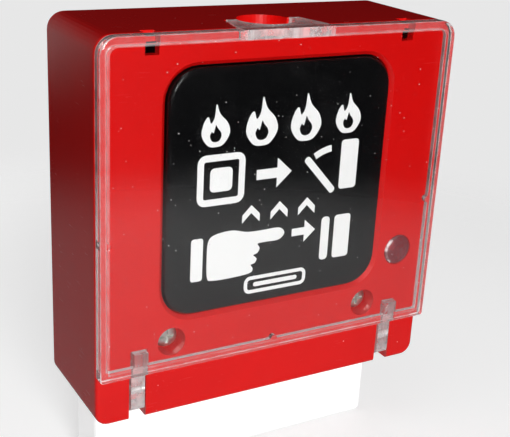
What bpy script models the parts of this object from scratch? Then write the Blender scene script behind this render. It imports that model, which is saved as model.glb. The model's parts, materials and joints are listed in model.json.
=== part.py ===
"""A wall-mounted manual call point: a square housing, a clear lid on two hinge arms, a large push plate
on four springs, a latch slider that is reset from below, and the switch, board and terminals inside.

X runs right, Y runs from the front to the wall and Z up. The origin is the middle of the wall face."""
import math

import bmesh
import bpy

mm = 0.001

# --- Driving sizes -----------------------------------------------------------------------------------
housing_width = 90.0 * mm
housing_height = 90.0 * mm
housing_depth = 29.5 * mm
shell_wall = 2.2 * mm
top_corner_radius = 4.0 * mm
bottom_corner_radius = 3.2 * mm
front_edge_radius = 0.8 * mm
wall_stand_off = 0.5 * mm

gap = 0.3 * mm
running_gap = 0.1 * mm
sink = 0.5 * mm
corner_steps = 7
edge_steps = 3

# --- Base plate --------------------------------------------------------------------------------------
base_thickness = 2.5 * mm
cable_entry_width = 24.0 * mm
cable_entry_height = 14.0 * mm
cable_entry_above_board = 4.5 * mm
cable_entry_radius = 2.0 * mm
keyhole_x = 33.0 * mm
keyhole_z = 27.0 * mm
keyhole_head_radius = 4.2 * mm
keyhole_neck_radius = 2.2 * mm
keyhole_rise = 6.0 * mm
lower_fixing_z = -36.0 * mm
lower_fixing_half_length = 3.0 * mm

# --- Lid ---------------------------------------------------------------------------------------------
lid_depth = 3.0 * mm
lid_plate = 1.5 * mm
lid_wall = 2.0 * mm
lid_bottom_above_housing = 12.6 * mm
lid_edge_radius = 0.4 * mm
lid_low_corner_radius = 0.8 * mm
lid_inner_corner_radius = 0.3 * mm
nub_radius = 0.9 * mm

arm_x = 34.8 * mm
arm_thickness = 3.4 * mm
arm_slot_width = 4.2 * mm
arm_eye_radius = 4.2 * mm
arm_overlap = 5.2 * mm
arm_standing_height = 6.3 * mm
arm_tip_radius = 1.2 * mm
hinge_pin_radius = 1.0 * mm
hinge_cheek = 2.0 * mm

tab_front_width = 23.0 * mm
tab_rear_width = 19.0 * mm
tab_reach = 9.5 * mm
tab_thickness = 2.2 * mm
tab_proud = 0.1 * mm
tab_notch_radius = 6.9 * mm
tab_seat_wall = 1.4 * mm

# --- Finger recess and clip windows in the housing ---------------------------------------------------
recess_x = -1.0 * mm
recess_radius = 6.5 * mm
recess_behind_front = 8.7 * mm
recess_depth = 4.3 * mm
recess_wall = 1.2 * mm

window_x = 32.6 * mm
window_width = 3.2 * mm
window_height = 4.6 * mm
hook_thickness = 2.0 * mm
hook_width = 2.6 * mm
hook_behind_front = 7.0 * mm

# --- Push plate --------------------------------------------------------------------------------------
button_size = 57.6 * mm
button_centre_z = 8.4 * mm
button_corner_radius = 7.5 * mm
button_proud = 0.3 * mm
button_plate_thickness = 2.2 * mm
button_edge_radius = 1.0 * mm
button_flange = 1.6 * mm
button_flange_thickness = 1.4 * mm
button_skirt_wall = 1.8 * mm
button_travel = 3.0 * mm
opening_chamfer = 0.9 * mm

guide_inset = 6.3 * mm
guide_pin_radius = 1.5 * mm
guide_pin_length = 16.5 * mm
guide_tube_radius = 3.0 * mm
guide_tube_height = 11.5 * mm
guide_floor = 1.0 * mm
actuator_radius = 2.0 * mm

spring_wire_radius = 0.3 * mm
return_spring_radius = 2.5 * mm
return_spring_turns = 4
latch_spring_radius = 2.9 * mm
latch_spring_turns = 3
wire_sides = 4
turn_steps = 10

# --- Cover screws, indicator -------------------------------------------------------------------------
cover_screw_x = 26.7 * mm
cover_screw_z = -26.4 * mm
well_radius = 3.5 * mm
well_wall = 1.1 * mm
head_below_face = 2.7 * mm
cover_head_radius = 2.8 * mm
cover_head_height = 1.8 * mm
cover_shank_radius = 1.45 * mm
cover_boss_length = 17.0 * mm
base_boss_radius = 3.8 * mm
cross_width = 0.7 * mm
cross_depth = 1.0 * mm

lens_x = 36.2 * mm
lens_z = -13.3 * mm
lens_radius = 3.75 * mm
lens_flange = 1.1 * mm
lens_flange_thickness = 1.0 * mm
lens_dome = 0.8 * mm
led_radius = 2.5 * mm
led_collar = 0.4 * mm
led_length = 8.6 * mm
spacer_radius = 3.1 * mm
spacer_bore = 2.0 * mm

# --- Board and what stands on it ---------------------------------------------------------------------
board_height_above_base = 5.4 * mm
board_thickness = 1.6 * mm
board_left = -38.0 * mm
board_right = 40.5 * mm
board_bottom = -21.0 * mm
board_top = 18.0 * mm
board_hole_gap = 0.5 * mm
board_screw_places = ((-33.0 * mm, -16.0 * mm), (33.0 * mm, 2.0 * mm), (0.0, -16.0 * mm))
board_post_radius = 3.0 * mm
board_screw_radius = 1.2 * mm
board_head_radius = 2.4 * mm
board_head_height = 1.5 * mm
board_screw_length = 5.0 * mm

switch_width = 12.8 * mm
switch_height = 8.0 * mm
switch_depth = 7.5 * mm
plunger_radius = 1.4 * mm
plunger_stands = 3.3 * mm
plunger_length = 5.0 * mm

terminal_x = 27.5 * mm
terminal_z = 12.4 * mm
terminal_width = 15.0 * mm
terminal_height = 8.0 * mm
terminal_depth = 10.0 * mm
terminal_poles = 3
terminal_screw_radius = 1.7 * mm
terminal_screw_length = 4.0 * mm
terminal_wire_size = 2.6 * mm

resistor_x = -13.0 * mm
resistor_above_guide = 16.1 * mm
resistor_pitch = 4.6 * mm
resistor_count = 3
resistor_radius = 1.1 * mm
resistor_body = 6.0 * mm
resistor_lead = 2.2 * mm
lead_radius = 0.3 * mm
diode_place = (-14.5 * mm, 13.5 * mm)
diode_radius = 0.9 * mm
diode_body = 4.0 * mm
capacitor_place = (-30.5 * mm, -2.0 * mm)
capacitor_radius = 3.2 * mm
capacitor_height = 8.0 * mm
chip_x = -22.5 * mm
chip_above_guide = 9.6 * mm
chip_size = (5.0 * mm, 2.2 * mm, 6.4 * mm)

# --- Latch slider ------------------------------------------------------------------------------------
latch_beside_guide = 12.0 * mm
latch_bar = 3.0 * mm
latch_behind_front = 11.0 * mm
latch_slope = 0.4
latch_head_reach = 5.5 * mm
latch_head_depth = 6.0 * mm
latch_head_height = 5.2 * mm
fin_width = 2.4 * mm
fin_height = 5.9 * mm
fin_above_edge = 0.8 * mm
fin_length = 9.5 * mm
latch_guide_top = -27.0 * mm
latch_guide_height = 6.0 * mm
latch_guide_wall = 2.2 * mm
latch_collar = 3.5 * mm
latch_collar_thickness = 1.2 * mm
latch_spring_length = 5.0 * mm
reset_pin_radius = 1.2 * mm
reset_pin_recess = 1.4 * mm
reset_hole_radius = 1.9 * mm

# --- Places worked out from the sizes ----------------------------------------------------------------
half_height = housing_height / 2
front = -housing_depth
shell_back = front + shell_wall
lid_front = front - lid_depth
lid_bottom = -half_height + lid_bottom_above_housing
inner_half_width = housing_width / 2 - shell_wall
inner_half_height = half_height - shell_wall

hinge_y = front + arm_eye_radius
hinge_z = -half_height + arm_standing_height
arm_front = front - gap
arm_top = lid_bottom + arm_overlap
tip_y = hinge_y - arm_front - arm_tip_radius
tip_z = arm_eye_radius - arm_tip_radius
arm_swing = math.hypot(tip_y, tip_z) + arm_tip_radius
slot_depth = arm_eye_radius + arm_swing + gap
slot_top = arm_top + gap

base_front = -base_thickness
board_back = base_front - board_height_above_base
board_front = board_back - board_thickness

button_front = front - button_proud
plate_back = button_front + button_plate_thickness
flange_front = shell_back + gap
flange_back = flange_front + button_flange_thickness
guide_top = base_front - guide_tube_height

tab_top = half_height + tab_proud
tab_bottom = tab_top - tab_thickness
recess_floor = half_height - recess_depth
recess_y = front + recess_behind_front

guide_offset = button_size / 2 - guide_inset
low_guide_z = button_centre_z - guide_offset

latch_x = guide_offset - latch_beside_guide
latch_y = front + latch_behind_front
fin_bottom = button_centre_z - button_size / 2 + fin_above_edge
latch_head_bottom = fin_bottom + fin_height
latch_head_top = latch_head_bottom + latch_head_height
latch_guide_bottom = latch_guide_top - latch_guide_height
collar_top = latch_guide_bottom - 2 * gap - latch_spring_length
collar_bottom = collar_top - latch_collar_thickness
reset_pin_end = -half_height + reset_pin_recess
fin_x = latch_x + latch_bar / 2 + gap + fin_width / 2 + gap

plunger_tip = board_front - gap - switch_depth - plunger_stands

finishes = {
    "red_plastic": ((0.62, 0.004, 0.006), 0.28, 0.0),
    "black_plastic": ((0.012, 0.012, 0.013), 0.3, 0.0),
    "clear_plastic": ((0.93, 0.95, 0.96), 0.05, 0.0),
    "steel": ((0.62, 0.62, 0.6), 0.25, 1.0),
    "zinc": ((0.7, 0.71, 0.7), 0.35, 1.0),
    "board": ((0.02, 0.16, 0.06), 0.45, 0.0),
    "terminal": ((0.03, 0.25, 0.12), 0.4, 0.0),
    "white_plastic": ((0.75, 0.75, 0.72), 0.4, 0.0),
    "resistor": ((0.55, 0.42, 0.24), 0.5, 0.0),
}


# --- Shapes ------------------------------------------------------------------------------------------
def rounded(centre, size, bottom_radius, top_radius, inset=0.0):
    """Points of a rounded rectangle, in two coordinates, drawn inward by inset."""
    points = []
    corners = ((1, -1, bottom_radius, -90), (1, 1, top_radius, 0), (-1, 1, top_radius, 90),
               (-1, -1, bottom_radius, 180))
    for side, end, radius, first in corners:
        arc = max(radius - inset, 0.02 * mm)
        middle_u = centre[0] + side * (size[0] / 2 - inset - arc)
        middle_v = centre[1] + end * (size[1] / 2 - inset - arc)
        for step in range(corner_steps + 1):
            angle = math.radians(first + 90 * step / corner_steps)
            points.append((middle_u + arc * math.cos(angle), middle_v + arc * math.sin(angle)))
    return points


def circle(centre, radius, sides):
    turn = 2 * math.pi / sides
    angles = [(i + 0.5) * turn for i in range(sides)]
    return [(centre[0] + radius * math.cos(angle), centre[1] + radius * math.sin(angle))
            for angle in angles]


def place(axis, along, point):
    """A point from its place along an axis and its two other coordinates, in X, Y, Z order."""
    u, v = point
    return {"x": (along, u, v), "y": (u, along, v), "z": (u, v, along)}[axis]


def loft(name, rings):
    """A closed solid through rings that have the same number of points."""
    mesh = bmesh.new()
    rows = [[mesh.verts.new(point) for point in ring] for ring in rings]
    for here, there in zip(rows, rows[1:]):
        for i, vertex in enumerate(here):
            j = (i + 1) % len(here)
            mesh.faces.new((vertex, here[j], there[j], there[i]))
    mesh.faces.new(rows[0])
    mesh.faces.new(rows[-1])
    bmesh.ops.recalc_face_normals(mesh, faces=mesh.faces)
    data = bpy.data.meshes.new(name)
    mesh.to_mesh(data)
    mesh.free()
    solid = bpy.data.objects.new(name, data)
    bpy.context.scene.collection.objects.link(solid)
    return solid


def prism(name, axis, points, low, high):
    return loft(name, [[place(axis, along, point) for point in points] for along in (low, high)])


def block(name, x, y, z):
    return prism(name, "y", [(x[0], z[0]), (x[1], z[0]), (x[1], z[1]), (x[0], z[1])], *y)


def turned(name, axis, centre, profile, sides=24):
    """A round solid about an axis. profile holds (place along the axis, radius)."""
    return loft(name, [[place(axis, along, point) for point in circle(centre, radius, sides)]
                       for along, radius in profile])


def slab(name, centre, size, radii, levels):
    """A rounded plate across Y. levels holds (y, how far its outline is drawn in)."""
    return loft(name, [[place("y", y, point) for point in rounded(centre, size, *radii, inset)]
                       for y, inset in levels])


def edge_levels(y, radius, sign=1):
    """Levels of a rounded edge that starts at y and runs towards sign, for slab."""
    angles = [math.radians(90 * step / edge_steps) for step in range(edge_steps + 1)]
    return [(y + sign * radius * (1 - math.cos(a)), radius * (1 - math.sin(a))) for a in angles]


def coil(name, axis, centre, start, end, radius, wire, turns):
    """A helical spring with its wire ends inside start and end."""
    rings = []
    steps = turns * turn_steps
    low, high = start + wire, end - wire
    slope = math.atan2((high - low) / turns, 2 * math.pi * radius)
    for step in range(steps + 1):
        angle = 2 * math.pi * step / turn_steps
        out_u, out_v = math.cos(angle), math.sin(angle)
        ring = []
        for side in range(wire_sides):
            around = 2 * math.pi * side / wire_sides
            outward = radius + wire * math.cos(around)
            lean = -wire * math.sin(around) * math.sin(slope)
            along = low + (high - low) * step / steps + wire * math.sin(around) * math.cos(slope)
            ring.append(place(axis, along, (centre[0] + outward * out_u - lean * out_v,
                                            centre[1] + outward * out_v + lean * out_u)))
        rings.append(ring)
    return loft(name, rings)


def combine(target, operation, *tools):
    """The target joined with or cut by the tools, which are then removed."""
    for tool in tools:
        step = target.modifiers.new(tool.name, "BOOLEAN")
        step.operation = operation
        step.solver = "EXACT"
        step.object = tool
    graph = bpy.context.evaluated_depsgraph_get()
    shape = bpy.data.meshes.new_from_object(target.evaluated_get(graph))
    target.modifiers.clear()
    target.data = shape
    shape.name = target.name
    for tool in tools:
        bpy.data.objects.remove(tool)
    return target


def join(target, *tools):
    return combine(target, "UNION", *tools)


def cut(target, *tools):
    return combine(target, "DIFFERENCE", *tools)


def finish(part, finish_name, origin=(0.0, 0.0, 0.0)):
    """Gives a part its own material, smooth round faces and an origin."""
    colour, roughness, metallic = finishes[finish_name]
    material = bpy.data.materials.new(part.name)
    material.use_nodes = True
    shader = material.node_tree.nodes["Principled BSDF"]
    shader.inputs["Base Color"].default_value = (*colour, 1.0)
    shader.inputs["Roughness"].default_value = roughness
    shader.inputs["Metallic"].default_value = metallic
    part.data.materials.clear()
    part.data.materials.append(material)
    for vertex in part.data.vertices:
        vertex.co = [c - o for c, o in zip(vertex.co, origin)]
    part.location = origin
    part.data.shade_smooth()
    part.data.set_sharp_from_angle(angle=math.radians(35))
    return part


def cross_recess(name, centre, face, radius):
    """The two blades that cut a cross recess into a screw head whose top is at face."""
    reach = 0.62 * radius
    blades = []
    for length, width in ((reach, cross_width / 2), (cross_width / 2, reach)):
        blades.append(block(f"{name}_recess", (centre[0] - length, centre[0] + length),
                            (face - sink, face + cross_depth), (centre[1] - width, centre[1] + width)))
    return blades


# --- Fixed parts -------------------------------------------------------------------------------------
def guide_places():
    return [(side * guide_offset, button_centre_z + end * guide_offset)
            for side in (-1, 1) for end in (-1, 1)]


def make_base():
    """The plate on the wall, with its posts, bosses, guide tubes, clip hooks and fixing holes."""
    fit = shell_wall + gap
    base = slab("base", (0, 0), (housing_width - 2 * fit, housing_height - 2 * fit),
                (bottom_corner_radius - fit, top_corner_radius - fit), ((base_front, 0), (0, 0)))
    root = base_front + sink
    posts = [turned("tube", "y", spot, ((guide_top, guide_tube_radius), (root, guide_tube_radius)), 16)
             for spot in guide_places()]
    posts += [turned("post", "y", spot, ((board_back + gap, board_post_radius),
                                         (root, board_post_radius)), 16) for spot in board_screw_places]
    boss_top = front + cover_boss_length + gap
    posts += [turned("boss", "y", (side * cover_screw_x, cover_screw_z),
                     ((boss_top, base_boss_radius), (root, base_boss_radius)), 20) for side in (-1, 1)]
    hook_top = inner_half_height - gap
    hook_front = front + hook_behind_front
    fillet_reach = 2 * hook_thickness
    for side in (-1, 1):
        middle = side * window_x
        posts.append(block("hook", (middle - hook_width / 2, middle + hook_width / 2), (hook_front, root),
                           (hook_top - hook_thickness - gap, hook_top - gap)))
        foot = [(root, hook_top - gap - hook_thickness - fillet_reach), (root, hook_top - 2 * gap),
                (base_front - fillet_reach, hook_top - 2 * gap)]
        posts.append(prism("foot", "x", foot, middle - hook_width / 3, middle + hook_width / 3))
    join(base, *posts)

    past = (base_front - sink, sink)
    entry_low = board_top + cable_entry_above_board
    holes = [slab("entry", (0, entry_low + cable_entry_height / 2), (cable_entry_width, cable_entry_height),
                  (cable_entry_radius, cable_entry_radius), [(y, 0) for y in past])]
    for side in (-1, 1):
        low = (side * keyhole_x, keyhole_z)
        high_z = keyhole_z + keyhole_rise
        holes.append(prism("keyhole", "y", circle(low, keyhole_head_radius, 20), *past))
        neck_z = (low[1] + high_z) / 2
        holes.append(slab("neck", (low[0], neck_z),
                          (2 * keyhole_neck_radius, keyhole_rise + 2 * keyhole_neck_radius),
                          (keyhole_neck_radius, keyhole_neck_radius), [(y, 0) for y in past]))
    holes.append(slab("slot", (0, lower_fixing_z),
                      (2 * (lower_fixing_half_length + keyhole_neck_radius), 2 * keyhole_neck_radius),
                      (keyhole_neck_radius, keyhole_neck_radius), [(y, 0) for y in past]))
    for spot in guide_places():
        bore = guide_pin_radius + running_gap
        bore_ends = ((guide_top - sink, bore), (base_front - guide_floor, bore))
        holes.append(turned("bore", "y", spot, bore_ends, 16))
    for spot in board_screw_places:
        bore = board_screw_radius + gap
        holes.append(turned("bore", "y", spot, ((board_back - sink, bore), (base_front, bore)), 16))
    for side in (-1, 1):
        bore = cover_shank_radius + gap
        holes.append(turned("bore", "y", (side * cover_screw_x, cover_screw_z),
                            ((boss_top - sink, bore), (base_front, bore)), 20))
    cut(base, *holes)
    return finish(base, "red_plastic")


def tab_plan(start, clearance):
    """The pull tab's plan from start to its rear end, narrower at the rear, drawn outward by clearance."""
    rear = front + tab_reach + clearance
    half_front, half_rear = tab_front_width / 2 + clearance, tab_rear_width / 2 + clearance
    corners = [(-half_rear, rear), (-half_front, front), (-half_front, start)]
    corners += [(-x, y) for x, y in reversed(corners)]
    return [(recess_x + x, y) for x, y in corners]


def make_housing():
    """The deep front shell, with the button opening, screw wells, hinge slots and finger recess."""
    size = (housing_width, housing_height)
    radii = (bottom_corner_radius, top_corner_radius)
    housing = slab("housing", (0, 0), size, radii,
                   edge_levels(front, front_edge_radius) + [(-wall_stand_off, 0)])
    inner_radii = [radius - shell_wall for radius in radii]
    cut(housing, slab("cavity", (0, 0), [side - 2 * shell_wall for side in size], inner_radii,
                      ((shell_back, 0), (sink, 0))))

    inside = shell_back - sink
    recess_outer = recess_radius + recess_wall
    seat_half = tab_front_width / 2 + gap + tab_seat_wall
    solids = [turned("recess_cup", "z", (recess_x, recess_y), ((recess_floor - recess_wall, recess_outer),
                                                               (half_height - sink, recess_outer)), 32),
              block("tab_seat", (recess_x - seat_half, recess_x + seat_half),
                    (inside, front + tab_reach + gap + tab_seat_wall),
                    (tab_bottom - gap - tab_seat_wall, half_height - sink))]
    slot_half = arm_slot_width / 2 + hinge_cheek
    tube = well_radius + well_wall
    for side in (-1, 1):
        well = (side * cover_screw_x, cover_screw_z)
        tube_ends = ((inside, tube), (front + cover_boss_length, tube))
        solids.append(turned("well_tube", "y", well, tube_ends, 28))
        solids.append(block("hinge_block", (side * arm_x - slot_half, side * arm_x + slot_half),
                            (inside, front + slot_depth + shell_wall),
                            (-half_height + sink, slot_top + shell_wall)))
    join(housing, *solids)

    opening = [button_size + 2 * gap + 0.2 * mm] * 2
    opening_radii = [button_corner_radius + gap] * 2
    centre = (0, button_centre_z)
    holes = [
        slab("opening", centre, opening, opening_radii, ((front - sink, 0), (shell_back + sink, 0))),
        slab("opening_rim", centre, opening, opening_radii,
             ((front - sink, -opening_chamfer - sink), (front + opening_chamfer, 0))),
        turned("lens_hole", "y", (lens_x, lens_z), ((front - sink, lens_radius + gap),
                                                    (shell_back + sink, lens_radius + gap)), 32),
        turned("recess", "z", (recess_x, recess_y), ((recess_floor, recess_radius),
                                                     (half_height + sink, recess_radius)), 48),
        prism("tab_rebate", "z", tab_plan(front - sink, gap), tab_bottom - gap, half_height + sink),
        turned("reset_hole", "z", (latch_x, latch_y), ((-half_height - sink, reset_hole_radius),
                                                       (-inner_half_height + sink, reset_hole_radius)), 20),
    ]
    seat = front + head_below_face + cover_head_height + gap
    for side in (-1, 1):
        well = (side * cover_screw_x, cover_screw_z)
        clear = cover_shank_radius + gap
        holes.append(turned("well", "y", well, ((front - sink, well_radius), (seat, well_radius)), 28))
        holes.append(turned("well_bore", "y", well, ((seat - sink, clear),
                                                     (front + cover_boss_length + sink, clear)), 20))
        middle = side * arm_x
        holes.append(block("arm_slot", (middle - arm_slot_width / 2, middle + arm_slot_width / 2),
                           (front - sink, front + slot_depth), (-half_height - sink, slot_top)))
        reach = slot_half + sink
        holes.append(turned("pin_hole", "x", (hinge_y, hinge_z),
                            ((middle - reach, hinge_pin_radius + running_gap),
                             (middle + reach, hinge_pin_radius + running_gap))))
        middle = side * window_x
        holes.append(block("window", (middle - window_width / 2, middle + window_width / 2),
                           (front - sink, shell_back + sink),
                           (half_height - window_height, half_height + sink)))
    cut(housing, *holes)
    return finish(housing, "red_plastic")


def make_hinge_pin(name, side):
    half = arm_slot_width / 2 + hinge_cheek - gap
    pin = turned(name, "x", (hinge_y, hinge_z), ((side * arm_x - half, hinge_pin_radius),
                                                 (side * arm_x + half, hinge_pin_radius)))
    return finish(pin, "steel", (side * arm_x, hinge_y, hinge_z))


def make_screw(name, spot, head_face, head_radius, head_height, shank_radius, shank_end):
    """A pan-head screw along Y, with a cross recess."""
    rim = 0.35 * head_height
    profile = [(head_face, 0.55 * head_radius), (head_face + 0.3 * rim, 0.85 * head_radius),
               (head_face + rim, head_radius), (head_face + head_height, head_radius),
               (head_face + head_height, shank_radius), (shank_end - shank_radius, shank_radius),
               (shank_end, 0.3 * shank_radius)]
    screw = turned(name, "y", spot, profile, 20)
    cut(screw, *cross_recess(name, spot, head_face, head_radius))
    return finish(screw, "zinc")


def make_lens():
    """The clear indicator window, with a flange behind the shell and a low dome in front."""
    edge = lens_radius
    profile = [(front - lens_dome, 0.25 * edge), (front - 0.85 * lens_dome, 0.6 * edge),
               (front - 0.5 * lens_dome, 0.86 * edge), (front, edge), (shell_back + gap, edge),
               (shell_back + gap, edge + lens_flange),
               (shell_back + gap + lens_flange_thickness, edge + lens_flange)]
    lens = turned("indicator_lens", "y", (lens_x, lens_z), profile, 32)
    return finish(lens, "clear_plastic")


def make_led():
    """The indicator diode on its spacer, close behind the lens."""
    tip = shell_back + 2 * gap + lens_flange_thickness
    back = tip + led_length
    profile = [(tip + led_radius * (1 - math.sin(math.radians(a))), led_radius * math.cos(math.radians(a)))
               for a in (84, 60, 35, 0)]
    profile += [(back - 1.0 * mm, led_radius), (back - 1.0 * mm, led_radius + led_collar),
                (back, led_radius + led_collar)]
    led = finish(turned("led", "y", (lens_x, lens_z), profile, 20), "clear_plastic")
    spacer = turned("led_spacer", "y", (lens_x, lens_z), ((back + gap, spacer_radius),
                                                          (board_front - gap, spacer_radius)), 20)
    cut(spacer, turned("bore", "y", (lens_x, lens_z), ((back - sink, spacer_bore),
                                                       (board_front + sink, spacer_bore)), 12))
    return led, finish(spacer, "black_plastic")


def make_board():
    board = block("circuit_board", (board_left, board_right), (board_front, board_back),
                  (board_bottom, board_top))
    past = (board_front - sink, board_back + sink)
    holes = [prism("hole", "y", circle(spot, board_screw_radius + gap, 16), *past)
             for spot in board_screw_places]
    holes += [prism("hole", "y", circle(spot, guide_tube_radius + board_hole_gap, 20), *past)
              for spot in guide_places() if spot[1] < board_top]
    cut(board, *holes)
    return finish(board, "board")


def make_switch():
    """The switch on the board, behind the middle of the push plate, and its plunger."""
    centre = (0, button_centre_z)
    mouth = board_front - gap - switch_depth
    body = slab("switch_body", centre, (switch_width, switch_height), (0.5 * mm, 0.5 * mm),
                ((mouth, 0.4 * mm), (mouth + 0.4 * mm, 0), (board_front - gap, 0)))
    deep = plunger_tip + plunger_length + button_travel + gap
    bore = plunger_radius + gap
    cut(body, turned("bore", "y", centre, ((mouth - sink, bore), (deep, bore)), 16))
    finish(body, "black_plastic")
    tip = 0.4 * mm
    plunger = turned("switch_plunger", "y", centre,
                     ((plunger_tip, plunger_radius - tip), (plunger_tip + tip, plunger_radius),
                      (plunger_tip + plunger_length, plunger_radius)), 16)
    finish(plunger, "white_plastic", (0, plunger_tip, button_centre_z))


def make_terminals(name, side):
    """A block of clamp terminals, open upwards for the wires, with a screw in each pole."""
    middle = side * terminal_x
    back = board_front - gap
    face = back - terminal_depth
    top = terminal_z + terminal_height / 2
    body = block(f"terminal_block_{name}", (middle - terminal_width / 2, middle + terminal_width / 2),
                 (face, back), (terminal_z - terminal_height / 2, top))
    pitch = terminal_width / terminal_poles
    tools = []
    for pole in range(terminal_poles):
        x = middle + (pole - (terminal_poles - 1) / 2) * pitch
        well = terminal_screw_radius + gap
        floor = face + terminal_screw_length + 2 * gap
        tools.append(turned("well", "y", (x, terminal_z), ((face - sink, well), (floor, well)), 14))
        low = back - 2 * terminal_wire_size
        tools.append(block("wire_hole", (x - terminal_wire_size / 2, x + terminal_wire_size / 2),
                           (low, low + terminal_wire_size), (terminal_z, top + sink)))
        screw = turned(f"terminal_screw_{name}_{pole + 1}", "y", (x, terminal_z),
                       ((face + gap, terminal_screw_radius), (face + gap + terminal_screw_length,
                                                              terminal_screw_radius)), 14)
        blade = 1.3 * terminal_screw_radius
        cut(screw, block("blade", (x - blade, x + blade), (face, face + gap + cross_depth),
                         (terminal_z - cross_width / 2, terminal_z + cross_width / 2)))
        finish(screw, "zinc")
    cut(body, *tools)
    finish(body, "terminal")


def make_axial(name, centre, radius, body_length, finish_name):
    """A resistor or diode that lies along X, with its two leads."""
    y = board_front - gap - radius
    half = body_length / 2
    end = half + resistor_lead
    profile = [(-end, lead_radius), (-half, lead_radius), (-half, 0.7 * radius), (0.35 * mm - half, radius),
               (half - 0.35 * mm, radius), (half, 0.7 * radius), (half, lead_radius), (end, lead_radius)]
    part = turned(name, "x", (y, centre[1]), [(centre[0] + along, r) for along, r in profile], 12)
    return finish(part, finish_name)


def make_small_parts():
    for i in range(resistor_count):
        spot = (resistor_x, low_guide_z + resistor_above_guide - i * resistor_pitch)
        make_axial(f"resistor_{i + 1}", spot, resistor_radius, resistor_body, "resistor")
    make_axial("diode", diode_place, diode_radius, diode_body, "black_plastic")
    base = board_front - gap
    profile = [(base - capacitor_height, capacitor_radius - 0.4 * mm),
               (base - capacitor_height + 0.4 * mm, capacitor_radius), (base, capacitor_radius)]
    finish(turned("capacitor", "y", capacitor_place, profile, 20), "black_plastic")
    x, z = chip_x, low_guide_z + chip_above_guide
    width, depth, height = chip_size
    finish(block("control_chip", (x - width / 2, x + width / 2), (base - depth, base),
                 (z - height / 2, z + height / 2)), "black_plastic")


# --- Lid ---------------------------------------------------------------------------------------------
def arc(centre, radius, first, last, steps):
    """Points along an arc, from one angle in degrees to another."""
    angles = [math.radians(first + (last - first) * step / steps) for step in range(steps + 1)]
    return [(centre[0] + radius * math.cos(angle), centre[1] + radius * math.sin(angle))
            for angle in angles]


def lid_arm(side):
    """A flat hinge arm in its slot: a bar fused to the inside of the lid, ending in a round eye."""
    bottom = hinge_z - arm_eye_radius
    root_y, root_z = lid_front + lid_plate / 2, lid_bottom + lid_wall / 2
    outline = arc((hinge_y, hinge_z), arm_eye_radius, -90, 90, 10)
    outline += [(hinge_y, arm_top), (root_y, arm_top), (root_y, root_z), (arm_front, root_z)]
    outline += arc((arm_front + arm_tip_radius, bottom + arm_tip_radius), arm_tip_radius, 180, 270, 4)
    middle = side * arm_x
    return prism("arm", "x", outline, middle - arm_thickness / 2, middle + arm_thickness / 2)


def lid_tab():
    """The pull tab: the lid's top wall carried back to a horseshoe around the finger recess."""
    rear = front + tab_reach
    behind = rear - recess_y
    start = math.degrees(math.atan2(behind, math.sqrt(tab_notch_radius ** 2 - behind ** 2)))
    notch = arc((recess_x, recess_y), tab_notch_radius, start, -180 - start, 16)
    return prism("tab", "z", tab_plan(lid_front - tab_proud, 0) + notch, tab_bottom, tab_top)


def make_lid():
    """The clear tray over the upper face, with its two hinge arms and its pull tab."""
    height = half_height - lid_bottom
    centre = (0, (half_height + lid_bottom) / 2)
    size = (housing_width, height)
    radii = (lid_low_corner_radius, top_corner_radius)
    lid = slab("lid", centre, size, radii, edge_levels(lid_front, lid_edge_radius) + [(front - gap, 0)])
    inner = [side - 2 * lid_wall for side in size]
    inner_radii = (lid_inner_corner_radius, top_corner_radius - lid_wall)
    cut(lid, slab("hollow", centre, inner, inner_radii, ((lid_front + lid_plate, 0), (front + sink, 0))))
    nubs = []
    inner_edge = housing_width / 2 - lid_wall
    for x, z in ((-inner_edge, 0), (inner_edge, 0), (0, lid_bottom + lid_wall)):
        nubs.append(turned("nub", "y", (x, z), ((lid_front + lid_plate - sink, nub_radius),
                                                (front - gap, nub_radius)), 12))
    join(lid, lid_tab(), lid_arm(-1), lid_arm(1), *nubs)
    eyes = []
    for side in (-1, 1):
        reach = arm_thickness / 2 + sink
        bore = hinge_pin_radius + running_gap
        eyes.append(turned("eye", "x", (hinge_y, hinge_z), ((side * arm_x - reach, bore),
                                                            (side * arm_x + reach, bore))))
    cut(lid, *eyes)
    return finish(lid, "clear_plastic", (0, hinge_y, hinge_z))


# --- Push plate, springs and latch -------------------------------------------------------------------
def make_button():
    """The push plate, with its flange, guide pins, switch actuator and latch fin."""
    centre = (0, button_centre_z)
    size = [button_size] * 2
    radii = [button_corner_radius] * 2
    button = slab("button_plate", centre, size, radii,
                  edge_levels(button_front, button_edge_radius) + [(flange_back, 0)])
    flange = slab("flange", centre, [button_size + 2 * button_flange] * 2,
                  [button_corner_radius + button_flange] * 2,
                  ((flange_front, 0), (flange_back - sink / 2, 0)))
    join(button, flange)
    cut(button, slab("hollow", centre, [button_size - 2 * button_skirt_wall] * 2,
                     [button_corner_radius - button_skirt_wall] * 2,
                     ((plate_back, 0), (flange_back + sink, 0))))
    root = plate_back - sink
    pin_end = plate_back + guide_pin_length
    tools = [turned("pin", "y", spot, ((root, guide_pin_radius), (pin_end - sink, guide_pin_radius),
                                       (pin_end, guide_pin_radius - sink)), 16) for spot in guide_places()]
    tools.append(turned("actuator", "y", centre, ((root, actuator_radius),
                                                  (plunger_tip - gap, actuator_radius)), 16))
    fin_end = plate_back + fin_length
    fin = [(root, fin_bottom), (fin_end, fin_bottom), (fin_end, fin_top(fin_end)), (root, fin_top(root))]
    tools.append(prism("fin", "x", fin, fin_x - fin_width / 2, fin_x + fin_width / 2))
    join(button, *tools)
    return finish(button, "black_plastic", (0, button_front, button_centre_z))


def fin_top(y):
    """Height of the fin's sloping edge, which the latch head rests on."""
    return latch_head_bottom - gap + latch_slope * (y - latch_y)


def make_return_springs():
    for i, spot in enumerate(guide_places()):
        spring = coil(f"return_spring_{i + 1}", "y", spot, plate_back + gap, guide_top - gap,
                      return_spring_radius, spring_wire_radius, return_spring_turns)
        finish(spring, "steel", (spot[0], guide_top, spot[1]))


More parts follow.
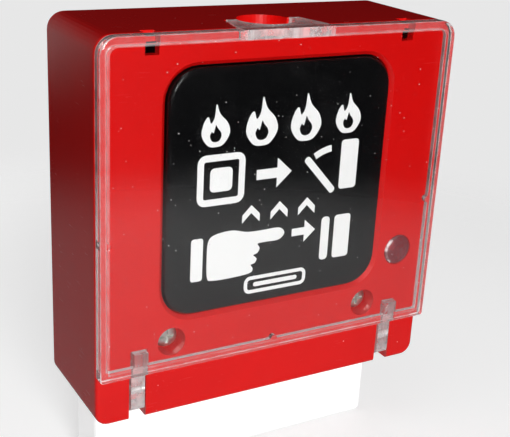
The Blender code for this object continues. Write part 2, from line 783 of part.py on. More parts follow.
def make_latch():
    """The slider that holds the pressed plate, the block that guides it and the spring that lowers it."""
    half = latch_bar / 2
    bar = block("latch_slider", (latch_x - half, latch_x + half), (latch_y - half, latch_y + half),
                (collar_bottom + sink, latch_head_top))
    head_front = latch_y + half - latch_head_depth
    head_back = latch_y + half
    rise = latch_slope * latch_head_depth
    low = latch_head_bottom + latch_slope * (head_front - latch_y)
    head = [(head_front, low), (head_back, low + rise), (head_back, latch_head_top),
            (head_front, latch_head_top)]
    collar = latch_collar
    join(bar,
         prism("head", "x", head, latch_x - half, latch_x + latch_head_reach),
         turned("collar", "z", (latch_x, latch_y), ((collar_bottom, collar), (collar_top, collar)), 20),
         turned("reset_pin", "z", (latch_x, latch_y), ((reset_pin_end, reset_pin_radius),
                                                       (collar_bottom + sink, reset_pin_radius)), 16))
    finish(bar, "white_plastic", (latch_x, latch_y, collar_bottom))

    bore = half + gap
    side = bore + latch_guide_wall
    guide = block("latch_guide", (latch_x - side, latch_x + side), (latch_y - side, base_front - gap),
                  (latch_guide_bottom, latch_guide_top))
    cut(guide, block("bore", (latch_x - bore, latch_x + bore), (latch_y - bore, latch_y + bore),
                     (latch_guide_bottom - sink, latch_guide_top + sink)))
    finish(guide, "black_plastic")

    spring = coil("latch_spring", "z", (latch_x, latch_y), collar_top + gap, latch_guide_bottom - gap,
                  latch_spring_radius, spring_wire_radius, latch_spring_turns)
    finish(spring, "steel", (latch_x, latch_y, latch_guide_bottom))


def build():
    for old in list(bpy.data.objects):
        bpy.data.objects.remove(old)
    make_base()
    make_housing()
    make_lens()
    make_led()
    make_board()
    make_switch()
    make_small_parts()
    cover_head = front + head_below_face
    for name, side in (("left", -1), ("right", 1)):
        make_hinge_pin(f"hinge_pin_{name}", side)
        make_terminals(name, side)
        make_screw(f"cover_screw_{name}", (side * cover_screw_x, cover_screw_z), cover_head,
                   cover_head_radius, cover_head_height, cover_shank_radius, base_front - gap)
    for i, spot in enumerate(board_screw_places):
        head = board_front - gap - board_head_height
        make_screw(f"board_screw_{i + 1}", spot, head, board_head_radius, board_head_height,
                   board_screw_radius, board_front + board_screw_length)
    make_lid()
    make_button()
    make_return_springs()
    make_latch()


build()
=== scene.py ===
import json
import math

import bmesh
import bpy
from mathutils import Matrix, Vector


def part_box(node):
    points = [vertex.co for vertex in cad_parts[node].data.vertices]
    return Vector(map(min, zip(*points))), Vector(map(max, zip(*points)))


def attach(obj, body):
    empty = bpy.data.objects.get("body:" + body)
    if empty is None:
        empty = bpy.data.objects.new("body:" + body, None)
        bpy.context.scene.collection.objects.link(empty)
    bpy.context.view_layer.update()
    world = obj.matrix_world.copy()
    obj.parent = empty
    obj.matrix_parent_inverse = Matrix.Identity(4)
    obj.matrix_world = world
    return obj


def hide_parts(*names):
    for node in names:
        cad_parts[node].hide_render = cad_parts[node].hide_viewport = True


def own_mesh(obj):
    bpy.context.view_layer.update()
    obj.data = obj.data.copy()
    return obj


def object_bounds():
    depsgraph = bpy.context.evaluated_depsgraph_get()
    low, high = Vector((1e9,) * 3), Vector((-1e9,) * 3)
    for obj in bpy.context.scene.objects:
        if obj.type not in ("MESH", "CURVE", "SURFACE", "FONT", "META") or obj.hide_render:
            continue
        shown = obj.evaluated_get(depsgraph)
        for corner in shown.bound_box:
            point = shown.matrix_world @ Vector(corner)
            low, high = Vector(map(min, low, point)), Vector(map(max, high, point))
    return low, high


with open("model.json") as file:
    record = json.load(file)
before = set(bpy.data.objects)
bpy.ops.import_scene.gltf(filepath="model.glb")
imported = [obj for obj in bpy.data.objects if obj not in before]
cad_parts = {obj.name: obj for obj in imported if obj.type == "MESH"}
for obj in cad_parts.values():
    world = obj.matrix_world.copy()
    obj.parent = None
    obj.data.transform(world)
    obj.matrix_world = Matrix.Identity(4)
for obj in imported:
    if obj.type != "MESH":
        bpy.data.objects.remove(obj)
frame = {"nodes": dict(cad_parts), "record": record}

cadBox = [list(corner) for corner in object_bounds()]
mm = 0.001
print("frame loaded")


# ---- shader maths: a socket that can be added, multiplied and so on
class Value:
    def __init__(self, shader, socket):
        self.shader = shader
        self.socket = socket

    def maths(self, operation, *values):
        return self.shader.add("ShaderNodeMath", {"operation": operation}, dict(enumerate(values)))

    def __add__(self, other):
        return self.maths("ADD", self, other)

    def __sub__(self, other):
        return self.maths("SUBTRACT", self, other)

    def __rsub__(self, other):
        return self.maths("SUBTRACT", other, self)

    def __mul__(self, other):
        return self.maths("MULTIPLY", self, other)

    def __gt__(self, other):
        return self.maths("GREATER_THAN", self, other)

    def __lt__(self, other):
        return self.maths("LESS_THAN", self, other)

    def __pow__(self, other):
        return self.maths("POWER", self, other)

    __radd__ = __add__
    __rmul__ = __mul__

    def most(self, other):
        return self.maths("MAXIMUM", self, other)

    def least(self, other):
        return self.maths("MINIMUM", self, other)

    def size(self):
        return self.maths("ABSOLUTE", self)

    def root(self):
        return self.maths("SQRT", self)

    def soft(self, low, high):  # 0 below low, 1 above high, smooth between
        return self.shader.add("ShaderNodeMapRange", {"interpolation_type": "SMOOTHSTEP"},
                               {"Value": self, "From Min": low, "From Max": high})


class Shader:
    def __init__(self, name, holder=None):
        self.holder = holder or bpy.data.materials.new(name)
        self.holder.use_nodes = True
        self.tree = self.holder.node_tree
        self.tree.nodes.clear()
        self.place = self.add("ShaderNodeTexCoord", output="Object")

    # any node: its type, its settings, which go first, then the values or links of its sockets
    def add(self, kind, settings=None, sockets=None, output=0):
        node = self.tree.nodes.new(kind)
        for name, value in (settings or {}).items():
            setattr(node, name, value)
        for name, value in (sockets or {}).items():
            if isinstance(value, Value):
                self.tree.links.new(value.socket, node.inputs[name])
            elif isinstance(value, tuple) and len(value) == 3 and node.inputs[name].type == "RGBA":
                node.inputs[name].default_value = (*value, 1.0)
            else:
                node.inputs[name].default_value = value
        return Value(self, node.outputs[output]) if node.outputs else node

    def noise(self, size, detail=3.0, roughness=0.55, where=None):  # size of one lump, in metres
        return self.add("ShaderNodeTexNoise", None, {"Vector": where or self.place, "Scale": 1 / size,
                                                     "Detail": detail, "Roughness": roughness})

    def stretched(self, x, y, z, turn=0.0):
        return self.add("ShaderNodeMapping", None, {"Vector": self.place, "Scale": (x, y, z),
                                                    "Rotation": (0.0, turn, 0.0)})

    def mix(self, amount, first, second):
        node = self.tree.nodes.new("ShaderNodeMix")
        node.data_type = "RGBA"
        for socket, value in ((node.inputs[0], amount), (node.inputs[6], first), (node.inputs[7], second)):
            if isinstance(value, Value):
                self.tree.links.new(value.socket, socket)
            elif isinstance(value, tuple):
                socket.default_value = (*value, 1.0)
            else:
                socket.default_value = value
        return Value(self, node.outputs[2])

    def specks(self, spacing, size, share):  # scattered specks: 1 on a speck, 0 elsewhere
        cells = {"Vector": self.place, "Scale": 1 / spacing, "Randomness": 1.0}
        near = self.add("ShaderNodeTexVoronoi", None, cells, "Distance")
        tint = self.add("ShaderNodeTexVoronoi", None, cells, "Color")
        split = self.add("ShaderNodeSeparateColor", None, {"Color": tint})
        return (split > 1 - share) * (1 - near.soft(size / spacing * 0.5, size / spacing))

    def scratches(self, length, width, turn, share):  # fine straight scratches across X and Z
        lines = self.noise(1.0, 2.0, 0.5, self.stretched(1 / length, 1 / length, 1 / width, turn))
        return lines.soft(1 - share, 1 - share * 0.6)

    def bump(self, height, strength, distance):
        return self.add("ShaderNodeBump", None, {"Height": height, "Strength": strength,
                                                 "Distance": distance})

    def surface(self, **sockets):
        return self.add("ShaderNodeBsdfPrincipled", None,
                        {name.replace("_", " "): value for name, value in sockets.items()})

    def axis(self, letter):  # one coordinate of the place, in metres
        return self.add("ShaderNodeSeparateXYZ", None, {"Vector": self.place}, letter)

    def blend(self, amount, first, second):
        return self.add("ShaderNodeMixShader", None, {0: amount, 1: first, 2: second})

    def done(self, surface, output="ShaderNodeOutputMaterial"):
        self.add(output, None, {"Surface": surface})
        return self.holder


# ---- finishes
redPlastic = {"colour": (0.72, 0.0035, 0.0025), "deep": (0.62, 0.002, 0.002), "roughness": 0.2,
              "dustShare": 0.4, "dustSize": 0.13 * mm, "dustSpacing": 2.9 * mm}


def makeRedPlastic():
    look = redPlastic
    s = Shader("redPlastic")
    cloud = s.noise(18 * mm, 3.0)
    grain = s.noise(0.7 * mm, 4.0)
    dust = s.specks(look["dustSpacing"], look["dustSize"], look["dustShare"])
    rubs = s.scratches(9 * mm, 0.12 * mm, 0.6, 0.34) * s.noise(6 * mm).soft(0.5, 0.7)
    colour = s.mix(cloud, look["colour"], look["deep"])
    colour = s.mix(rubs * 0.12, colour, (0.9, 0.25, 0.22))
    colour = s.mix(dust, colour, (0.9, 0.86, 0.84))
    roughness = look["roughness"] + cloud * 0.05 + grain * 0.06 + dust * 0.5 + rubs * 0.15
    return s.done(s.surface(Base_Color=colour, Roughness=roughness, IOR=1.5,
                            Normal=s.bump(grain + dust * 0.6, 0.12, 0.05 * mm)))


blackPlastics = {  # the gloss push plate, and the satin plate on the wall
    "gloss": {"colour": (0.003, 0.003, 0.0033), "worn": (0.007, 0.007, 0.0073), "roughness": 0.1,
              "grain": 0.08, "dustShare": 0.5, "dustSize": 0.14 * mm, "dustSpacing": 2.4 * mm},
    "satin": {"colour": (0.014, 0.014, 0.015), "worn": (0.028, 0.028, 0.028), "roughness": 0.34,
              "grain": 0.45, "dustShare": 0.65, "dustSize": 0.2 * mm, "dustSpacing": 3.0 * mm},
}


def makeBlackPlastic(name):
    look = blackPlastics[name]
    s = Shader(name)
    cloud = s.noise(12 * mm, 4.0)
    grain = s.noise(0.5 * mm, 3.0)
    dust = s.specks(look["dustSpacing"], look["dustSize"], look["dustShare"])
    colour = s.mix(cloud.soft(0.45, 0.8), look["colour"], look["worn"])
    colour = s.mix(dust, colour, (0.5, 0.5, 0.5))
    roughness = look["roughness"] + cloud * 0.07 + dust * 0.4
    return s.done(s.surface(Base_Color=colour, Roughness=roughness, IOR=1.5,
                            Normal=s.bump(grain + dust, look["grain"], 0.05 * mm)))


clearPlastic = {"colour": (0.985, 0.99, 0.992), "roughness": 0.012, "smudge": 0.04, "bend": 1.49,
                "dustShare": 0.6, "dustSize": 0.15 * mm, "dustSpacing": 2.6 * mm, "film": (0.84, 0.8, 0.8),
                "shadow": (0.985, 0.985, 0.985)}


def clearShader(s, filmShare, tint=clearPlastic["film"]):  # clear acrylic mixed with a pale film by filmShare: dust, scuffs and a patchy pale lens, and painted highlights along the lid's edges and the lens rim
    look = clearPlastic
    smudge = s.noise(7 * mm, 4.0).soft(0.5, 0.8)
    glass = s.surface(Base_Color=look["colour"], Roughness=look["roughness"] + smudge * look["smudge"],
                      IOR=look["bend"], Transmission_Weight=1.0,
                      Normal=s.bump(s.noise(9 * mm, 1.0), 0.25, 0.08 * mm))
    film = s.surface(Base_Color=tint, Roughness=0.55)
    seen = s.blend(filmShare, glass, film)
    open_ = s.add("ShaderNodeBsdfTransparent", None, {"Color": look["shadow"]})
    for ray in ("Is Diffuse Ray", "Is Shadow Ray"):  # lamps reach what lies behind
        seen = s.blend(s.add("ShaderNodeLightPath", output=ray), seen, open_)
    return s.done(seen)


# pale film on the lid as painted highlight: bright edge lines, brighter corners, the inner wall line, a paler
# band over the side walls, the tab and the arms
lidEdges = {"halfWidth": 45.0 * mm, "bottom": -32.4 * mm, "top": 45.0 * mm, "corner": 4.0 * mm,
            "lowCorner": 0.8 * mm, "wall": 2.0 * mm, "front": -32.5 * mm, "rim": -29.9 * mm, "line": 0.2 * mm,
            "tabBottom": 42.9 * mm, "tabMiddle": -1.0 * mm, "tabHalf": 11.5 * mm, "armMiddle": 34.8 * mm,
            "armHalf": 1.75 * mm, "armTop": -27.2 * mm,
            "linePaintedHighlight": 0.34, "cornerPaintedHighlight": 0.85, "wallPaintedSheen": 0.05, "innerPaintedHighlight": 0.2, "tabPaintedHighlight": 0.3,
            "tabStreakPaintedHighlight": 0.55, "armPaintedSheen": 0.26}


def makeLidPlastic():
    look, plain = lidEdges, clearPlastic
    s = Shader("lidPlastic")
    x, y, z = (s.axis(letter) for letter in "XYZ")
    middle = (look["top"] + look["bottom"]) / 2
    radius = look["lowCorner"] + (z > middle) * (look["corner"] - look["lowCorner"])
    overX = x.size() - look["halfWidth"] + radius
    overZ = (z - middle).size() - (look["top"] - middle) + radius
    nearX = (x.size() - look["halfWidth"] + look["corner"]).most(0)
    nearZ = ((z - middle).size() - (look["top"] - middle) + look["corner"]).most(0)
    # painted highlight is strongest at the corners
    corner = (nearX * nearZ * 1e6).soft(1.0, 8.0)
    inside = radius - (overX.most(0) ** 2 + overZ.most(0) ** 2).root() - overX.most(overZ).least(0)
    line = look["line"]
    outline = 1 - inside.soft(0.5 * line, 1.5 * line)
    lines = outline * (y - look["rim"]).soft(-0.3 * mm, 0).most(1 - (y - look["front"]).soft(line, 2 * line))
    inner = 1 - (inside - look["wall"]).size().soft(0.5 * line, 1.5 * line)
    wall = 1 - inside.soft(look["wall"], look["wall"] + 0.2 * mm)
    onTab = (z - look["tabBottom"]).soft(-0.05 * mm, 0) * (1 - (x - look["tabMiddle"]).size().soft(
        look["tabHalf"] - 0.05 * mm, look["tabHalf"] + 0.05 * mm))
    # painted highlight: vertical pale streaks over the tab's upright faces
    streaks = s.noise(1.0, 3.0, 0.6, s.stretched(420, 40, 40))
    facing = s.add("ShaderNodeNewGeometry", output="Normal")
    upright = 1 - s.add("ShaderNodeSeparateXYZ", None, {"Vector": facing}, "Z").size()
    streaky = look["tabPaintedHighlight"] + streaks.soft(0.45, 0.7) * (look["tabStreakPaintedHighlight"] - look["tabPaintedHighlight"])
    tab = onTab * upright * streaky
    # painted sheen: a pale film over the arms' front part
    inArm = 1 - (x.size() - look["armMiddle"]).size().soft(look["armHalf"], look["armHalf"] + 0.1 * mm)
    arms = inArm * (z < look["armTop"] + 0.1 * mm) * (y - look["front"]).soft(1.4 * mm, 1.7 * mm)
    patchy = 0.55 + s.noise(4 * mm, 4.0).soft(0.3, 0.7) * 0.75
    # painted highlight: pale film along the outline, the inner wall line and the side walls
    edges = (lines * (look["linePaintedHighlight"] + corner * (look["cornerPaintedHighlight"] - look["linePaintedHighlight"]))
             ).most(inner * look["innerPaintedHighlight"] * (1 + corner * 2)).most(wall * look["wallPaintedSheen"])
    edges = edges.most(tab).most(arms * look["armPaintedSheen"]) * patchy
    dust = s.specks(plain["dustSpacing"], plain["dustSize"], plain["dustShare"])
    scuffs = s.scratches(8 * mm, 0.08 * mm, -0.5, 0.33) * s.noise(5 * mm).soft(0.55, 0.7)
    # painted edge highlights, together with real dust and scuffs
    return clearShader(s, edges.most(dust * 0.85).most(scuffs * 0.05))


lensEdges = {"place": (36.2 * mm, -13.3 * mm), "rim": 2.9 * mm, "outer": 3.5 * mm, "rimPaintedHighlight": 0.3,
             "filmShare": 0.42, "edgeFrost": 0.9, "inside": (0.3, 0.03, 0.045), "edge": (1.0, 0.88, 0.88)}


def makeLensPlastic():
    look = lensEdges
    s = Shader("lensPlastic")
    across, up = s.axis("X") - look["place"][0], s.axis("Z") - look["place"][1]
    # painted highlight: a pale ring over the lens rim
    rim = (across ** 2 + up ** 2).root().soft(look["rim"], look["outer"])
    cloud = s.noise(1.6 * mm, 3.0).soft(0.35, 0.65)
    # painted highlight: a brighter crescent on the rim's left side, towards the lamp
    paintedCrescent = rim * (across * -1.0).soft(0.6 * mm, 2.6 * mm) * (0.35 + cloud * 0.65)
    patchy = look["filmShare"] * (0.4 + cloud * 0.6)
    filmShare = (rim * look["rimPaintedHighlight"]).most(patchy).most(paintedCrescent * look["edgeFrost"])
    return clearShader(s, filmShare, s.mix(paintedCrescent, look["inside"], look["edge"]))


metals = {
    "zinc": {"colour": (0.66, 0.69, 0.66), "stain": (0.42, 0.44, 0.4), "roughness": 0.22},
    "steel": {"colour": (0.5, 0.5, 0.49), "stain": (0.32, 0.31, 0.3), "roughness": 0.25},
}


def makeMetal(name):
    look = metals[name]
    s = Shader(name)
    cloud = s.noise(1.4 * mm, 4.0)
    lines = s.noise(1.0, 3.0, 0.6, s.stretched(400, 9000, 9000))
    colour = s.mix(cloud.soft(0.4, 0.75), look["colour"], look["stain"])
    return s.done(s.surface(Base_Color=colour, Metallic=1.0, Roughness=look["roughness"] + lines * 0.2,
                            Normal=s.bump(lines, 0.15, 0.02 * mm)))


plains = {
    "boardGreen": {"colour": (0.012, 0.11, 0.035), "second": (0.02, 0.16, 0.05), "roughness": 0.35},
    "terminalGreen": {"colour": (0.02, 0.22, 0.08), "second": (0.03, 0.28, 0.1), "roughness": 0.4},
    "naturalPlastic": {"colour": (0.7, 0.69, 0.64), "second": (0.6, 0.59, 0.54), "roughness": 0.4},
    "resistorLacquer": {"colour": (0.5, 0.33, 0.16), "second": (0.42, 0.27, 0.13), "roughness": 0.35},
    "ledRed": {"colour": (0.55, 0.02, 0.02), "second": (0.42, 0.012, 0.012), "roughness": 0.12},
    "printWhite": {"colour": (0.95, 0.95, 0.94), "second": (0.9, 0.9, 0.89), "roughness": 0.5},
}


def makePlain(name):
    look = plains[name]
    s = Shader(name)
    cloud = s.noise(3 * mm, 4.0)
    grain = s.noise(0.4 * mm, 3.0)
    return s.done(s.surface(Base_Color=s.mix(cloud, look["colour"], look["second"]),
                            Roughness=look["roughness"] + grain * 0.15, Normal=s.bump(grain, 0.1, 0.04 * mm)))


finishes = {"red_plastic": makeRedPlastic(), "black_plastic": makeBlackPlastic("gloss"),
            "clear_plastic": makeLidPlastic(), "zinc": makeMetal("zinc"), "steel": makeMetal("steel"),
            "board": makePlain("boardGreen"), "terminal": makePlain("terminalGreen"),
            "white_plastic": makePlain("naturalPlastic"), "resistor": makePlain("resistorLacquer")}
ownFinishes = {"indicator_lens": makeLensPlastic(), "led": makePlain("ledRed"),
               "base": makeBlackPlastic("satin")}
slots = {entry["node"]: entry["material_slot"] for entry in frame["record"]["subparts"]}
edgeSoftness = {"housing": 0.25 * mm, "base": 0.2 * mm, "lid": 0.18 * mm, "button_plate": 0.1 * mm}

for name, node in frame["nodes"].items():
    node.data.materials.clear()
    node.data.materials.append(ownFinishes.get(name) or finishes[slots[name]])
    node.data.shade_smooth()
    if name in edgeSoftness:
        soften = node.modifiers.new("softEdges", "BEVEL")
        soften.width = edgeSoftness[name]
        soften.segments = 2
        soften.limit_method = "ANGLE"
        soften.angle_limit = math.radians(40)
        soften.harden_normals = False
    node.data.set_sharp_from_angle(angle=math.radians(30))
print("finishes set")


# ---- building meshes
def addPiece(name, shape, material, body, replaced=()):
    bmesh.ops.recalc_face_normals(shape, faces=shape.faces)
    mesh = bpy.data.meshes.new(name)
    shape.to_mesh(mesh)
    shape.free()
    mesh.materials.append(material)
    mesh.shade_smooth()
    mesh.set_sharp_from_angle(angle=math.radians(35))
    piece = bpy.data.objects.new(name, mesh)
    bpy.context.scene.collection.objects.link(piece)
    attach(piece, body)
    if replaced:
        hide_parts(*replaced)
    return piece


def loopFaces(shape, first, second):  # a band of faces between two closed loops of points
    for index in range(len(first)):
        after = (index + 1) % len(first)
        shape.faces.new((first[index], first[after], second[after], second[index]))


def arcPoints(centre, radius, start, stop, steps):  # angles in degrees
    angles = (math.radians(start + (stop - start) * step / steps) for step in range(steps + 1))
    return [(centre[0] + radius * math.cos(angle), centre[1] + radius * math.sin(angle)) for angle in angles]


def smoothLoop(points, steps=5):  # a closed smooth curve through points
    curve = []
    for index in range(len(points)):
        a, b, c, d = (points[(index + shift) % len(points)] for shift in (-1, 0, 1, 2))
        for step in range(steps):
            t = step / steps
            curve.append(tuple(0.5 * (2 * b[k] + (c[k] - a[k]) * t
                                      + (2 * a[k] - 5 * b[k] + 4 * c[k] - d[k]) * t ** 2
                                      + (3 * b[k] - a[k] - 3 * c[k] + d[k]) * t ** 3) for k in (0, 1)))
    return curve


def box2d(x, z, width, height, radius, steps=4):  # a rounded rectangle about (x, z)
    corners = ((1, 1, 0), (-1, 1, 90), (-1, -1, 180), (1, -1, 270))
    across, up = width / 2 - radius, height / 2 - radius
    return [point for signX, signZ, start in corners
            for point in arcPoints((x + signX * across, z + signZ * up), radius, start, start + 90, steps)]


def turnPoints(points, pivot, degrees):
    c, s = math.cos(math.radians(degrees)), math.sin(math.radians(degrees))
    return [(pivot[0] + c * (x - pivot[0]) - s * (z - pivot[1]),
             pivot[1] + s * (x - pivot[0]) + c * (z - pivot[1])) for x, z in points]


# ---- white pictograms printed on the push plate: fire, lift the cover, press the plate
plateLow, plateHigh = (Vector(corner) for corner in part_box("button_plate"))
printMarks = {"middle": (0.0, 8.4 * mm), "thick": 0.05 * mm, "sunk": 0.03 * mm, "unit": 1 * mm}
printRows = {  # each row's height over the middle, and its scale
    "fire": (15.8, 1.0), "open": (3.3, 1.22), "lift": (-6.4, 1.0), "press": (-15.0, 1.16),
    "button": (-23.9, 1.0),
}


def flame(x, z, tall):
    outer = ((0.0, 0.5), (0.1, 0.27), (0.3, 0.05), (0.36, -0.2), (0.2, -0.45), (0.0, -0.5), (-0.2, -0.45),
             (-0.36, -0.2), (-0.31, 0.08), (-0.2, 0.22), (-0.13, 0.06), (-0.04, 0.2))
    inner = ((0.0, 0.02), (0.05, -0.06), (0.12, -0.14), (0.15, -0.24), (0.1, -0.35), (0.0, -0.385),
             (-0.1, -0.35), (-0.15, -0.24), (-0.13, -0.17), (-0.1, -0.13), (-0.06, -0.17), (-0.03, -0.08))
    return [[(x + tall * px, z + tall * pz) for px, pz in smoothLoop(loop)] for loop in (outer, inner)]


def arrow(x, z, length, tall):
    neck = x + length / 2 - 0.55 * tall
    tail, half = x - length / 2, 0.17 * tall
    return [(tail, z - half), (neck, z - half), (neck, z - tall / 2), (x + length / 2, z),
            (neck, z + tall / 2), (neck, z + half), (tail, z + half)]


def ring(x, z, width, height, radius, line):
    return [box2d(x, z, width, height, radius),
            box2d(x, z, width - 2 * line, height - 2 * line, max(radius - line, 0.2))]


def pointingHand(x):
    palm = ((-8.6, -4.4), (-8.8, 0.0), (-8.6, 3.2), (-7.2, 4.5), (-3.4, 4.9), (0.0, 4.1), (3.4, 4.0),
            (7.4, 4.0), (8.7, 2.7), (7.4, 1.4), (4.4, 1.35), (2.6, 1.2), (3.1, 0.2), (2.6, -0.8),
            (1.7, -1.15), (2.5, -2.0), (2.1, -2.9), (1.2, -3.2), (1.7, -4.1), (0.9, -5.0), (-3.6, -5.3),
            (-7.4, -5.2))
    return [[[(x + px, pz) for px, pz in smoothLoop(palm, 4)]], [box2d(x - 11.0, -0.3, 2.6, 9.0, 0.6)]]


def printShapes():  # rows of outlines, some with a hole, in millimetres from the row's middle
    hinge = (12.0, -5.3)
    reach = arcPoints(hinge, 9.6, 97, 122, 6) + arcPoints(hinge, 8.3, 122, 97, 6)
    chevron = [(-2.3, -1.6), (0.0, 0.7), (2.3, -1.6), (2.3, 0.3), (0.0, 2.6), (-2.3, 0.3)]
    return {
        "fire": [flame(x, 0.0, tall) for x, tall in ((-17.4, 9.6), (-5.8, 11.2), (5.8, 11.2), (17.4, 9.6))],
        "open": [ring(-12.8, 0.0, 9.8, 9.8, 1.7, 1.3), [box2d(-12.8, 0.0, 4.6, 4.6, 0.9)],
                 [arrow(-1.6, 0.0, 7.6, 5.8)], [box2d(15.2, 0.0, 4.0, 10.0, 0.7)],
                 [turnPoints(box2d(12.0, -0.3, 1.4, 10.0, 0.6), hinge, 42)], [reach]],
        "lift": [[[(x + shift, z) for x, z in chevron]] for shift in (-7.5, 0.0, 7.5)],
        "press": pointingHand(-7.2) + [[arrow(6.1, 2.4, 5.6, 4.8)], [box2d(11.4, 0.0, 2.0, 9.6, 0.8)],
                                       [box2d(15.6, 0.0, 4.0, 9.6, 0.7)]],
        "button": [ring(0.0, 0.0, 17.0, 4.4, 1.6, 0.9), [box2d(0.0, 0.0, 12.0, 1.1, 0.5)]],
    }


def makePrint():
    look = printMarks
    shape = bmesh.new()
    for row, shapes in printShapes().items():
        rise, scale = printRows[row]

        def raise_(loop, y):
            return [shape.verts.new((look["middle"][0] + x * scale * look["unit"], y,
                                     look["middle"][1] + (rise + z * scale) * look["unit"])) for x, z in loop]

        for loops in shapes:
            fronts = [raise_(loop, plateLow[1] - look["thick"]) for loop in loops]
            backs = [raise_(loop, plateLow[1] + look["sunk"]) for loop in loops]
            for before, behind in zip(fronts, backs):
                loopFaces(shape, before, behind)
            for side in (fronts, backs):
                if len(side) == 2:
                    loopFaces(shape, *side)
                else:
                    shape.faces.new(side[0])
    return addPiece("plate_pictograms", shape, makePlain("printWhite"), "button")


makePrint()
print("pictograms made")


# ---- round wire for the return springs, built at rest; the real springs flatten as the plate goes in
returnSprings = {"wire": 0.32 * mm, "turns": 4.0, "deadTurns": 0.8, "sides": 8, "steps": 28,
                 "travel": 3.0 * mm, "spare": 1.02}


def sweepWire(shape, path, radius, sides):
    rings = []
    for index, point in enumerate(path):
        along = (path[min(index + 1, len(path) - 1)] - path[max(index - 1, 0)]).normalized()
        side = along.orthogonal() if not rings else (side - along * side.dot(along))
        side = side.normalized()
        up = along.cross(side)
        rings.append([shape.verts.new(point + radius * (math.cos(turn) * side + math.sin(turn) * up))
                      for turn in (2 * math.pi * step / sides for step in range(sides))])
    for first, second in zip(rings, rings[1:]):
        loopFaces(shape, first, second)
    for end in (rings[0], rings[-1]):
        shape.faces.new(end)


def makeReturnSpring(number):
    look = returnSprings
    low, high = (Vector(corner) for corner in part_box(f"return_spring_{number}"))
    middle = (low + high) / 2
    radius = (high[0] - low[0]) / 2 - look["wire"]
    start, stop = low[1] + look["wire"], high[1] - look["wire"]
    turns = look["turns"] + 2 * look["deadTurns"]
    closed = 2 * look["wire"] * look["spare"]  # rise of one turn whose wires nearly touch
    path = []
    for step in range(int(turns * look["steps"]) + 1):
        turn = step / look["steps"]
        live = min(max(turn - look["deadTurns"], 0.0), look["turns"]) / look["turns"]
        dead = min(turn, look["deadTurns"]) + max(turn - look["deadTurns"] - look["turns"], 0.0)
        rise = dead * closed + live * (stop - start - 2 * look["deadTurns"] * closed)
        angle = 2 * math.pi * turn
        path.append(Vector((middle[0] + radius * math.cos(angle), start + rise,
                            middle[2] + radius * math.sin(angle))))
    shape = bmesh.new()
    sweepWire(shape, path, look["wire"], look["sides"])
    spring = addPiece(f"return_coil_{number}", shape, finishes["steel"], "case",
                      [f"return_spring_{number}"])
    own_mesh(spring)


for number in (1, 2, 3, 4):
    makeReturnSpring(number)
print("springs made")


# ---- studio: floor, lights, camera
studio = {"floorSize": 0.6, "floorTone": (0.6, 0.6, 0.6), "floorSecond": (0.56, 0.56, 0.56), "floorGlow": 0.6,
          "floorSolid": 0.174, "floorGone": 0.284, "roomLight": 0.008,
          "standHeight": 23.5 * mm, "standSize": (80 * mm, 14 * mm), "standMiddle": -9.5 * mm,
          "standEdge": 1.5 * mm}


def addStage(name, shape, place, material):
    mesh = bpy.data.meshes.new(name)
    shape.to_mesh(mesh)
    shape.free()
    mesh.materials.append(material)
    piece = bpy.data.objects.new(name, mesh)
    piece.location = place
    bpy.context.scene.collection.objects.link(piece)


def makeFloor():  # a pale sheet whose rim fades into the room, and a stand that leaves the open lid room
    look = studio
    s = Shader("floorPaper")
    tone = s.mix(s.noise(4 * mm, 4.0), look["floorTone"], look["floorSecond"])
    paper = s.surface(Base_Color=tone, Roughness=0.8)
    direct = s.add("ShaderNodeLightPath", output="Is Camera Ray")
    paper = s.add("ShaderNodeAddShader", None, {0: paper, 1: s.add("ShaderNodeEmission", None,
                                                                   {"Strength": direct * look["floorGlow"]})})
    away = s.add("ShaderNodeVectorMath", {"operation": "LENGTH"}, {0: s.place}, "Value")
    material = s.done(s.blend(away.soft(look["floorSolid"], look["floorGone"]), paper,
                              s.add("ShaderNodeBsdfTransparent")))
    shape = bmesh.new()
    bmesh.ops.create_grid(shape, x_segments=1, y_segments=1, size=look["floorSize"] / 2)
    under = cadBox[0][2] - 0.2 * mm
    addStage("floor", shape, (0.0, -0.015, under - look["standHeight"]), material)
    shape = bmesh.new()
    bmesh.ops.create_cube(shape, size=1.0)
    bmesh.ops.scale(shape, vec=(*look["standSize"], look["standHeight"]), verts=shape.verts)
    bmesh.ops.bevel(shape, geom=shape.edges[:], offset=look["standEdge"], segments=3, profile=0.5,
                    affect="EDGES")
    addStage("stand", shape, (0.0, look["standMiddle"], under - look["standHeight"] / 2), material)


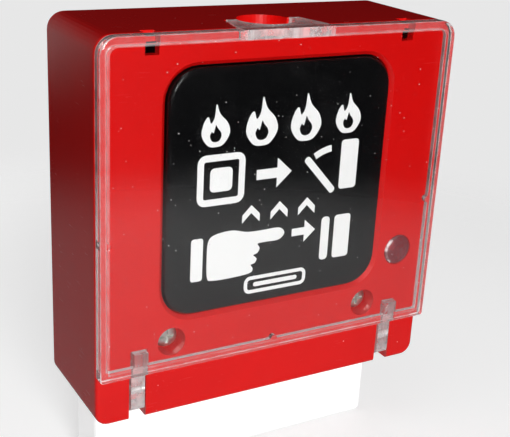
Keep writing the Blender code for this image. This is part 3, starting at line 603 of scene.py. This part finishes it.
def makeWorld():  # white behind the object and through clear plastic, a dim room for everything else
    world = bpy.data.worlds.new("studioRoom")
    bpy.context.scene.world = world
    s = Shader("studioRoom", world)
    direct = s.add("ShaderNodeLightPath", output="Is Camera Ray")
    through = s.add("ShaderNodeLightPath", output="Is Transmission Ray")
    depth = s.add("ShaderNodeLightPath", output="Ray Depth")
    room = s.add("ShaderNodeBackground", None, {"Strength": studio["roomLight"]})
    seen = s.add("ShaderNodeBackground", None, {"Strength": 1.0})
    s.done(s.blend(direct.most(through * (depth < 2.5)), room, seen), "ShaderNodeOutputWorld")


lamps = {  # place, aim, size, power
    "frontLamp": ((-0.12, -0.55, 0.14), (0.0, -0.03, 0.0), 0.22, 3.2),
    "backLamp": ((0.0, 0.55, 0.0), (0.0, 0.0, 0.0), 0.25, 1.5),
    "topLamp": ((-0.15, -0.12, 0.55), (0.0, -0.02, 0.0), 0.3, 0.4),
}


def makeLamps():
    for name, (place, aim, size, power) in lamps.items():
        light = bpy.data.lights.new(name, "AREA")
        light.shape = "DISK"
        light.size = size
        light.energy = power
        lamp = bpy.data.objects.new(name, light)
        lamp.location = place
        lamp.visible_camera = False
        lamp.rotation_mode = "QUATERNION"
        lamp.rotation_quaternion = (Vector(aim) - Vector(place)).to_track_quat("-Z", "Y")
        bpy.context.scene.collection.objects.link(lamp)


cameraView = {"place": (-0.11653, -0.21827, 0.08246), "forward": (0.473802, 0.808236, -0.349665),
              "roll": 3.059, "lens": 71.32}


def makeCamera():
    data = bpy.data.cameras.new("camera")
    data.lens = cameraView["lens"]
    data.sensor_width = 36.0
    data.clip_start = 0.01
    camera = bpy.data.objects.new("camera", data)
    forward = Vector(cameraView["forward"])
    camera.rotation_mode = "QUATERNION"
    level = forward.to_track_quat("-Z", "Y")
    roll = Matrix.Rotation(math.radians(-cameraView["roll"]), 3, forward).to_quaternion()
    camera.rotation_quaternion = roll @ level
    camera.location = cameraView["place"]
    bpy.context.scene.collection.objects.link(camera)
    bpy.context.scene.camera = camera


makeFloor()
makeWorld()
makeLamps()
makeCamera()
bpy.context.scene.view_settings.view_transform = "Standard"
print("studio ready")
